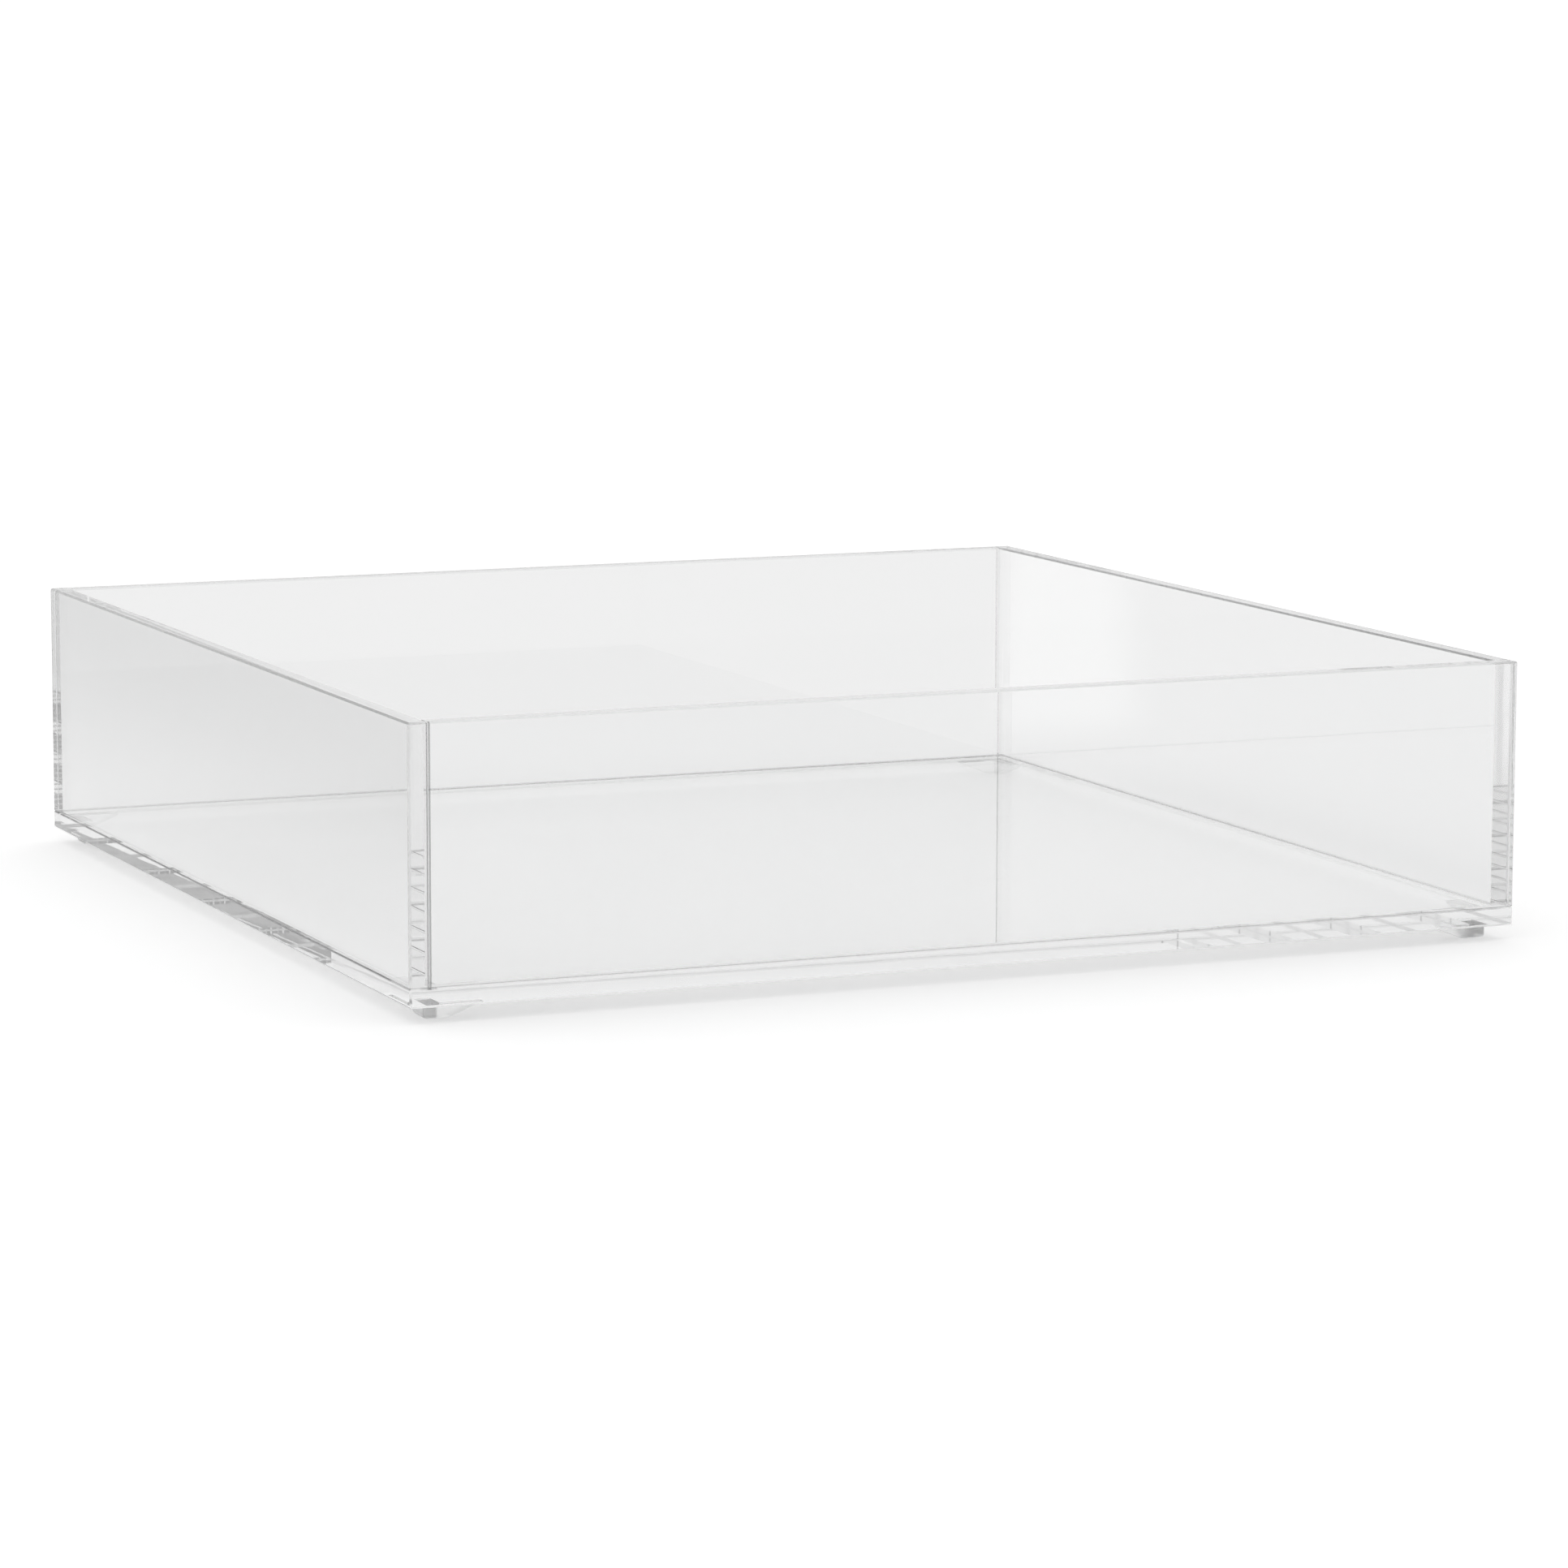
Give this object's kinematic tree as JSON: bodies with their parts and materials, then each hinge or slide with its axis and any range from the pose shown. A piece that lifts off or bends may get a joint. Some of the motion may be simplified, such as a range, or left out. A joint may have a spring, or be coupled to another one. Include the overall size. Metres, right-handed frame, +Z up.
{
  "type": "open clear acrylic storage box",
  "caption": "Shallow square open box of clear acrylic sheet on low L-shaped corner feet, for storing and sorting small things; a like box stacks on its rim.",
  "frame": {"origin": "middle of the box in plan, on the plane that its feet stand on", "axes": "+Z up, out of the open top; +X to the right and +Y to the back, seen from the front, the face whose left end shows the end of the left wall"},
  "size_m": [0.305, 0.305, 0.0732],
  "materials": {
    "clear_acrylic": "polished clear acrylic sheet"
  },
  "bodies": {
    "root": {"base_panel": "clear_acrylic", "front_panel": "clear_acrylic", "right_panel": "clear_acrylic", "back_panel": "clear_acrylic", "left_panel": "clear_acrylic", "foot_front_left": "clear_acrylic", "foot_front_right": "clear_acrylic", "foot_back_left": "clear_acrylic", "foot_back_right": "clear_acrylic"}
  },
  "joints": []
}
